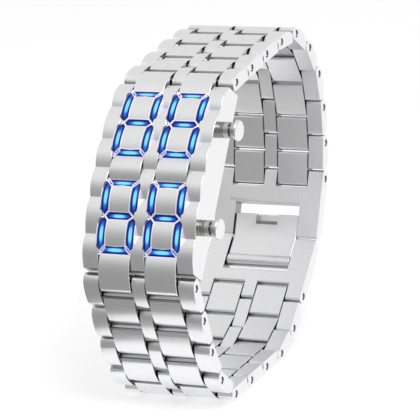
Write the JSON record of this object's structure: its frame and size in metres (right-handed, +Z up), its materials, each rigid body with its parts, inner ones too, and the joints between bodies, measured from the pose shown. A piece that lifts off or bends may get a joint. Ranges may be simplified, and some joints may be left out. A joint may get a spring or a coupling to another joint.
{
  "type": "led wristwatch",
  "caption": "Bracelet watch with a curved ridged steel case, lit bar digits, side push buttons, hinged links in columns and a folding frame clasp.",
  "frame": {"origin": "centre of the bounding box's base, on the surface that the closed watch stands on", "axes": "+X across the band towards the buttons, +Y towards the back of the closed loop, away from the face, +Z up"},
  "size_m": [0.0307, 0.0766, 0.0712],
  "materials": {
    "case_steel": "brushed",
    "link_steel": "brushed, with polished edges",
    "polished_steel": "polished",
    "barrel_steel": "grooved and dark",
    "spring_steel": "plain",
    "lit_lens": "clear and lit from behind",
    "black_rubber": "matt",
    "circuit_board": "lacquered",
    "led_resin": "moulded",
    "black_resin": "moulded",
    "cell_steel": "satin",
    "contact_metal": "plain"
  },
  "bodies": {
    "case": {"case_body": "case_steel", "case_back": "case_steel", "back_gasket": "black_rubber", "back_screws": "polished_steel", "digit_lenses": "lit_lens", "led_board": "circuit_board", "leds": "led_resin", "timing_module": "black_resin", "battery_cells": "cell_steel", "battery_clip": "contact_metal", "switch_contacts": "contact_metal", "button_tubes": "barrel_steel", "button_seals": "black_rubber", "button_springs": "spring_steel"},
    "button_upper": {"button_upper": "polished_steel", "button_clip_upper": "spring_steel"},
    "button_lower": {"button_lower": "polished_steel", "button_clip_lower": "spring_steel"},
    "link_a1": {"link_a1": "link_steel", "pin_a1": "polished_steel"},
    "link_a2": {"link_a2": "link_steel", "pin_a2": "polished_steel"},
    "link_a3": {"link_a3": "link_steel", "pin_a3": "polished_steel"},
    "link_a4": {"link_a4": "link_steel", "pin_a4": "polished_steel"},
    "link_a5": {"link_a5": "link_steel", "pin_a5": "polished_steel"},
    "link_a6": {"link_a6": "link_steel", "pin_a6": "polished_steel"},
    "link_a7": {"link_a7": "link_steel", "pin_a7": "polished_steel"},
    "link_a8": {"link_a8": "link_steel", "pin_a8": "polished_steel"},
    "link_a9": {"link_a9": "link_steel", "pin_a9": "polished_steel"},
    "clasp_upper": {"clasp_frame_upper": "link_steel", "clasp_pin_upper": "polished_steel"},
    "link_b1": {"link_b1": "link_steel", "pin_b1": "polished_steel"},
    "link_b2": {"link_b2": "link_steel", "pin_b2": "polished_steel"},
    "link_b3": {"link_b3": "link_steel", "pin_b3": "polished_steel"},
    "link_b4": {"link_b4": "link_steel", "pin_b4": "polished_steel"},
    "link_b5": {"link_b5": "link_steel", "pin_b5": "polished_steel"},
    "link_b6": {"link_b6": "link_steel", "pin_b6": "polished_steel"},
    "link_b7": {"link_b7": "link_steel", "pin_b7": "polished_steel"},
    "link_b8": {"link_b8": "link_steel", "pin_b8": "polished_steel"},
    "link_b9": {"link_b9": "link_steel", "pin_b9": "polished_steel"},
    "clasp_lower": {"clasp_frame_lower": "link_steel", "clasp_pin_lower": "polished_steel", "latch_pin": "polished_steel"},
    "latch": {"clasp_latch": "link_steel"}
  },
  "joints": [
    {"name": "press_upper_button", "type": "slide", "parent": "case", "child": "button_upper", "axis": [-1, 0, 0], "range_m": [0, 0.0005], "stiffness_N_per_m": 800, "springref_m": -0.0005},
    {"name": "press_lower_button", "type": "slide", "parent": "case", "child": "button_lower", "axis": [-1, 0, 0], "range_m": [0, 0.0005], "stiffness_N_per_m": 800, "springref_m": -0.0005},
    {"name": "hinge_link_a1", "type": "hinge", "parent": "case", "child": "link_a1", "pos_m": [0, -0.00789, 0.06752], "axis": [1, 0, 0], "range_deg": [0, 17]},
    {"name": "hinge_link_a2", "type": "hinge", "parent": "link_a1", "child": "link_a2", "pos_m": [0, 0.00037, 0.06835], "axis": [1, 0, 0], "range_deg": [0, 5]},
    {"name": "hinge_link_a3", "type": "hinge", "parent": "link_a2", "child": "link_a3", "pos_m": [0, 0.00863, 0.06917], "axis": [1, 0, 0], "range_deg": [0, 8]},
    {"name": "hinge_link_a4", "type": "hinge", "parent": "link_a3", "child": "link_a4", "pos_m": [0, 0.01691, 0.06964], "axis": [1, 0, 0], "range_deg": [0, 11]},
    {"name": "hinge_link_a5", "type": "hinge", "parent": "link_a4", "child": "link_a5", "pos_m": [0, 0.02521, 0.06923], "axis": [1, 0, 0], "range_deg": [0, 40]},
    {"name": "hinge_link_a6", "type": "hinge", "parent": "link_a5", "child": "link_a6", "pos_m": [0, 0.03181, 0.06421], "axis": [1, 0, 0], "range_deg": [0, 30]},
    {"name": "hinge_link_a7", "type": "hinge", "parent": "link_a6", "child": "link_a7", "pos_m": [0, 0.03573, 0.05689], "axis": [1, 0, 0], "range_deg": [0, 26]},
    {"name": "hinge_link_a8", "type": "hinge", "parent": "link_a7", "child": "link_a8", "pos_m": [0, 0.03678, 0.04866], "axis": [1, 0, 0], "range_deg": [0, 16]},
    {"name": "hinge_link_a9", "type": "hinge", "parent": "link_a8", "child": "link_a9", "pos_m": [0, 0.03616, 0.04038], "axis": [1, 0, 0], "range_deg": [0, 14]},
    {"name": "hinge_clasp_upper", "type": "hinge", "parent": "link_a9", "child": "clasp_upper", "pos_m": [0, 0.03425, 0.0323], "axis": [1, 0, 0], "range_deg": [0, 19]},
    {"name": "hinge_link_b1", "type": "hinge", "parent": "case", "child": "link_b1", "pos_m": [0, -0.03655, 0.0309], "axis": [-1, 0, 0], "range_deg": [0, 24]},
    {"name": "hinge_link_b2", "type": "hinge", "parent": "link_b1", "child": "link_b2", "pos_m": [0, -0.03436, 0.0229], "axis": [-1, 0, 0], "range_deg": [0, 6]},
    {"name": "hinge_link_b3", "type": "hinge", "parent": "link_b2", "child": "link_b3", "pos_m": [0, -0.03202, 0.01493], "axis": [-1, 0, 0], "range_deg": [0, 12]},
    {"name": "hinge_link_b4", "type": "hinge", "parent": "link_b3", "child": "link_b4", "pos_m": [0, -0.02867, 0.00734], "axis": [-1, 0, 0], "range_deg": [0, 29]},
    {"name": "hinge_link_b5", "type": "hinge", "parent": "link_b4", "child": "link_b5", "pos_m": [0, -0.02252, 0.00177], "axis": [-1, 0, 0], "range_deg": [0, 47]},
    {"name": "hinge_link_b6", "type": "hinge", "parent": "link_b5", "child": "link_b6", "pos_m": [0, -0.01422, 0.00174], "axis": [-1, 0, 0], "range_deg": [0, 5]},
    {"name": "hinge_link_b7", "type": "hinge", "parent": "link_b6", "child": "link_b7", "pos_m": [0, -0.00592, 0.00172], "axis": [-1, 0, 0], "range_deg": [0, 5]},
    {"name": "hinge_link_b8", "type": "hinge", "parent": "link_b7", "child": "link_b8", "pos_m": [0, 0.00238, 0.00169], "axis": [-1, 0, 0], "range_deg": [0, 27]},
    {"name": "hinge_link_b9", "type": "hinge", "parent": "link_b8", "child": "link_b9", "pos_m": [0, 0.01009, 0.00478], "axis": [-1, 0, 0], "range_deg": [0, 22]},
    {"name": "hinge_clasp_lower", "type": "hinge", "parent": "link_b9", "child": "clasp_lower", "pos_m": [0, 0.01651, 0.01004], "axis": [-1, 0, 0], "range_deg": [0, 6]},
    {"name": "hinge_latch", "type": "hinge", "parent": "clasp_lower", "child": "latch", "pos_m": [0, 0.0229, 0.01549], "axis": [1, 0, 0], "range_deg": [0, 100]}
  ]
}
